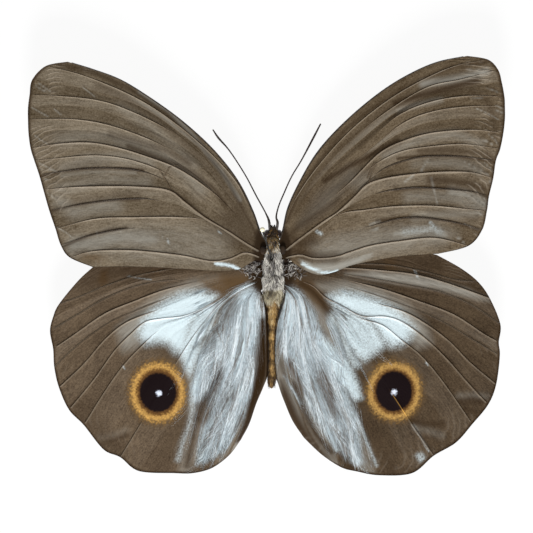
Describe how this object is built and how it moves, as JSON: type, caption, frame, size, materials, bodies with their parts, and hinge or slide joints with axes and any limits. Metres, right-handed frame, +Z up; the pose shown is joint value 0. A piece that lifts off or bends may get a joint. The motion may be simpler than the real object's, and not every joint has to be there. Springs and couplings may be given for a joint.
{
  "type": "pinned butterfly specimen",
  "caption": "Dried butterfly pinned through the thorax with all wings spread flat, grey-brown above, with a pale patch and an orange-ringed eyespot on each hindwing",
  "frame": {"origin": "middle of the box round the whole specimen, on the surface that it lies on", "axes": "+X along the spread wings to the specimen's right, +Y towards the head, +Z up through the wings' upper side"},
  "size_m": [0.0902, 0.0792, 0.0191],
  "materials": {
    "wing": "silky, dry scales",
    "fur": "matte hair",
    "abdomen": "matte",
    "dark_cuticle": "satin",
    "eye": "glossy",
    "pin_shaft": "black enamel over steel",
    "pin_head": "glossy"
  },
  "bodies": {
    "root": {"forewing_left": "wing", "forewing_right": "wing", "hindwing_left": "wing", "hindwing_right": "wing", "thorax": "fur", "tegula_left": "fur", "tegula_right": "fur", "palp_left": "fur", "palp_right": "fur", "abdomen": "abdomen", "head": "dark_cuticle", "antenna_left": "dark_cuticle", "antenna_right": "dark_cuticle", "leg_middle_left": "dark_cuticle", "leg_middle_right": "dark_cuticle", "leg_hind_left": "dark_cuticle", "leg_hind_right": "dark_cuticle", "eye_left": "eye", "eye_right": "eye", "pin_shaft": "pin_shaft", "pin_head": "pin_head"}
  },
  "joints": []
}
